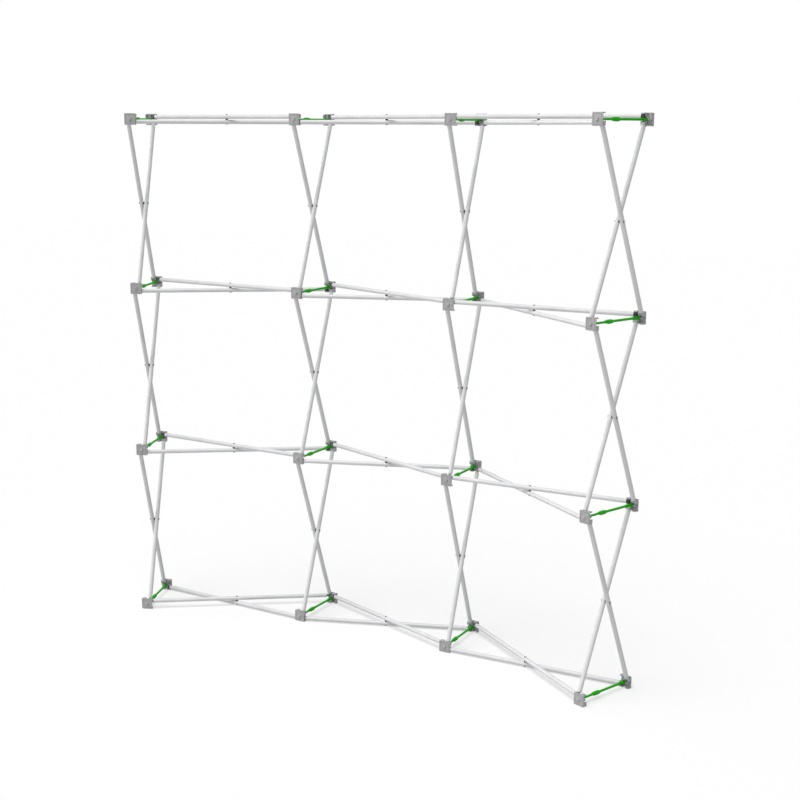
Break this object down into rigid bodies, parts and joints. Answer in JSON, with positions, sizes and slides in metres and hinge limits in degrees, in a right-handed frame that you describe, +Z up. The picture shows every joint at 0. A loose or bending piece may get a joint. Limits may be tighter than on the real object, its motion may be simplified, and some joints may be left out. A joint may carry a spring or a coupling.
{
  "type": "pop up display backwall",
  "caption": "Curved folding lattice frame of crossing aluminium tubes, square corner hubs and swinging green lock bars, standing open to carry a display backwall.",
  "frame": {"origin": "Middle of the frame's footprint on the floor: the bottom centre of its bounding box.", "axes": "+Z is up, +X runs along the width from column 1 to column 4, and +Y runs from the hollow front side to the back. The picture looks from -Y and +X."},
  "size_m": [2.3872, 0.5208, 2.2545],
  "materials": {
    "hub_plastic": "moulded light grey plastic, faint satin",
    "tube_metal": "satin natural aluminium tube",
    "end_plastic": "dark moulded plastic",
    "pin_steel": "plated steel pins and rivets",
    "spacer_plastic": "black plastic",
    "cap_plastic": "dark grey plastic",
    "lock_plastic": "green moulded plastic",
    "lock_arm_plastic": "green moulded plastic, slight gloss"
  },
  "bodies": {
    "frame": {"front_hubs_c1": "hub_plastic", "front_hubs_c2": "hub_plastic", "front_hubs_c3": "hub_plastic", "front_hubs_c4": "hub_plastic", "back_hubs_c1": "hub_plastic", "back_hubs_c2": "hub_plastic", "back_hubs_c3": "hub_plastic", "back_hubs_c4": "hub_plastic", "width_tubes_b1_r1": "tube_metal", "width_tubes_b1_r2": "tube_metal", "width_tubes_b1_r3": "tube_metal", "width_tubes_b1_r4": "tube_metal", "width_tubes_b2_r1": "tube_metal", "width_tubes_b2_r2": "tube_metal", "width_tubes_b2_r3": "tube_metal", "width_tubes_b2_r4": "tube_metal", "width_tubes_b3_r1": "tube_metal", "width_tubes_b3_r2": "tube_metal", "width_tubes_b3_r3": "tube_metal", "width_tubes_b3_r4": "tube_metal", "height_tubes_c1_s1": "tube_metal", "height_tubes_c1_s2": "tube_metal", "height_tubes_c1_s3": "tube_metal", "height_tubes_c2_s1": "tube_metal", "height_tubes_c2_s2": "tube_metal", "height_tubes_c2_s3": "tube_metal", "height_tubes_c3_s1": "tube_metal", "height_tubes_c3_s2": "tube_metal", "height_tubes_c3_s3": "tube_metal", "height_tubes_c4_s1": "tube_metal", "height_tubes_c4_s2": "tube_metal", "height_tubes_c4_s3": "tube_metal", "width_tube_ends": "end_plastic", "height_tube_ends": "hub_plastic", "width_hub_pins": "pin_steel", "height_hub_pins": "pin_steel", "pivot_spacers": "spacer_plastic", "pivot_caps": "cap_plastic", "pivot_rivets": "pin_steel", "lock_brackets": "lock_plastic", "lock_pins": "lock_plastic", "lock_catches": "lock_plastic"},
    "arm_c1_r1": {"lock_arm_c1_r1": "lock_arm_plastic"},
    "arm_c1_r2": {"lock_arm_c1_r2": "lock_arm_plastic"},
    "arm_c1_r3": {"lock_arm_c1_r3": "lock_arm_plastic"},
    "arm_c1_r4": {"lock_arm_c1_r4": "lock_arm_plastic"},
    "arm_c2_r1": {"lock_arm_c2_r1": "lock_arm_plastic"},
    "arm_c2_r2": {"lock_arm_c2_r2": "lock_arm_plastic"},
    "arm_c2_r3": {"lock_arm_c2_r3": "lock_arm_plastic"},
    "arm_c2_r4": {"lock_arm_c2_r4": "lock_arm_plastic"},
    "arm_c3_r1": {"lock_arm_c3_r1": "lock_arm_plastic"},
    "arm_c3_r2": {"lock_arm_c3_r2": "lock_arm_plastic"},
    "arm_c3_r3": {"lock_arm_c3_r3": "lock_arm_plastic"},
    "arm_c3_r4": {"lock_arm_c3_r4": "lock_arm_plastic"},
    "arm_c4_r1": {"lock_arm_c4_r1": "lock_arm_plastic"},
    "arm_c4_r2": {"lock_arm_c4_r2": "lock_arm_plastic"},
    "arm_c4_r3": {"lock_arm_c4_r3": "lock_arm_plastic"},
    "arm_c4_r4": {"lock_arm_c4_r4": "lock_arm_plastic"}
  },
  "joints": [
    {"name": "lock_c1_r1", "type": "hinge", "parent": "frame", "child": "arm_c1_r1", "pos_m": [-1.16033, -0.01163, 0.02475], "axis": [-0.9385, -0.3453, 0], "range_deg": [0, 60]},
    {"name": "lock_c1_r2", "type": "hinge", "parent": "frame", "child": "arm_c1_r2", "pos_m": [-1.16033, -0.01163, 0.75975], "axis": [-0.9385, -0.3453, 0], "range_deg": [0, 60]},
    {"name": "lock_c1_r3", "type": "hinge", "parent": "frame", "child": "arm_c1_r3", "pos_m": [-1.16033, -0.01163, 1.49475], "axis": [-0.9385, -0.3453, 0], "range_deg": [0, 60]},
    {"name": "lock_c1_r4", "type": "hinge", "parent": "frame", "child": "arm_c1_r4", "pos_m": [-1.16033, -0.01163, 2.22975], "axis": [-0.9385, -0.3453, 0], "range_deg": [0, 60]},
    {"name": "lock_c2_r1", "type": "hinge", "parent": "frame", "child": "arm_c2_r1", "pos_m": [-0.37, 0.22543, 0.02475], "axis": [-1, 0, 0], "range_deg": [0, 60]},
    {"name": "lock_c2_r2", "type": "hinge", "parent": "frame", "child": "arm_c2_r2", "pos_m": [-0.37, 0.22543, 0.75975], "axis": [-1, 0, 0], "range_deg": [0, 60]},
    {"name": "lock_c2_r3", "type": "hinge", "parent": "frame", "child": "arm_c2_r3", "pos_m": [-0.37, 0.22543, 1.49475], "axis": [-1, 0, 0], "range_deg": [0, 60]},
    {"name": "lock_c2_r4", "type": "hinge", "parent": "frame", "child": "arm_c2_r4", "pos_m": [-0.37, 0.22543, 2.22975], "axis": [-1, 0, 0], "range_deg": [0, 60]},
    {"name": "lock_c3_r1", "type": "hinge", "parent": "frame", "child": "arm_c3_r1", "pos_m": [0.37, 0.22543, 0.02475], "axis": [-1, 0, 0], "range_deg": [0, 60]},
    {"name": "lock_c3_r2", "type": "hinge", "parent": "frame", "child": "arm_c3_r2", "pos_m": [0.37, 0.22543, 0.75975], "axis": [-1, 0, 0], "range_deg": [0, 60]},
    {"name": "lock_c3_r3", "type": "hinge", "parent": "frame", "child": "arm_c3_r3", "pos_m": [0.37, 0.22543, 1.49475], "axis": [-1, 0, 0], "range_deg": [0, 60]},
    {"name": "lock_c3_r4", "type": "hinge", "parent": "frame", "child": "arm_c3_r4", "pos_m": [0.37, 0.22543, 2.22975], "axis": [-1, 0, 0], "range_deg": [0, 60]},
    {"name": "lock_c4_r1", "type": "hinge", "parent": "frame", "child": "arm_c4_r1", "pos_m": [1.16033, -0.01163, 0.02475], "axis": [-0.9385, 0.3453, 0], "range_deg": [0, 60]},
    {"name": "lock_c4_r2", "type": "hinge", "parent": "frame", "child": "arm_c4_r2", "pos_m": [1.16033, -0.01163, 0.75975], "axis": [-0.9385, 0.3453, 0], "range_deg": [0, 60]},
    {"name": "lock_c4_r3", "type": "hinge", "parent": "frame", "child": "arm_c4_r3", "pos_m": [1.16033, -0.01163, 1.49475], "axis": [-0.9385, 0.3453, 0], "range_deg": [0, 60]},
    {"name": "lock_c4_r4", "type": "hinge", "parent": "frame", "child": "arm_c4_r4", "pos_m": [1.16033, -0.01163, 2.22975], "axis": [-0.9385, 0.3453, 0], "range_deg": [0, 60]}
  ]
}
